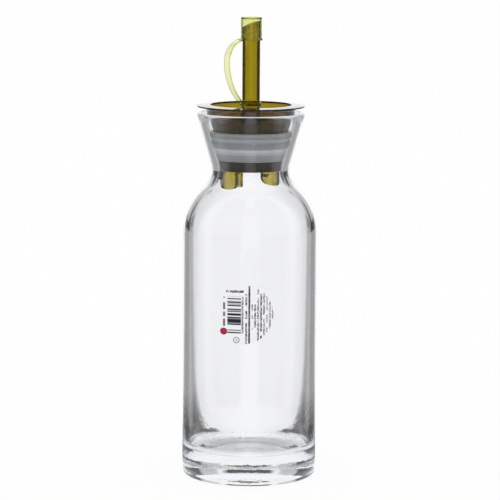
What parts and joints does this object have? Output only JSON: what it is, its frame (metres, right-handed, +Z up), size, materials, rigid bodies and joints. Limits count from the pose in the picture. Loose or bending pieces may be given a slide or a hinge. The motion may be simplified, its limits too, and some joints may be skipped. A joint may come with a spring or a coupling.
{
  "type": "oil decanter",
  "caption": "Clear glass oil bottle with a heavy base and flared neck, closed by a green plastic pourer stopper with ribbed seal, slanted spout and tethered cap",
  "frame": {"origin": "centre of the underside of the foot, on the plane that the bottle stands on", "axes": "+Z up along the axis of the bottle, +X to the right and -Y to the front, where the label is"},
  "size_m": [0.072, 0.0721, 0.247],
  "materials": {
    "clear_glass": "clear soda glass, fire polished",
    "seal_plastic": "milky translucent soft plastic, smooth ribs",
    "pourer_plastic": "olive green translucent moulded plastic, glossy",
    "cap_plastic": "pale green translucent flexible plastic, glossy",
    "label_paper": "white coated paper with small plain dark marks"
  },
  "bodies": {
    "root": {"bottle": "clear_glass", "seal": "seal_plastic", "stopper": "pourer_plastic", "cap": "cap_plastic", "label": "label_paper"}
  },
  "joints": []
}
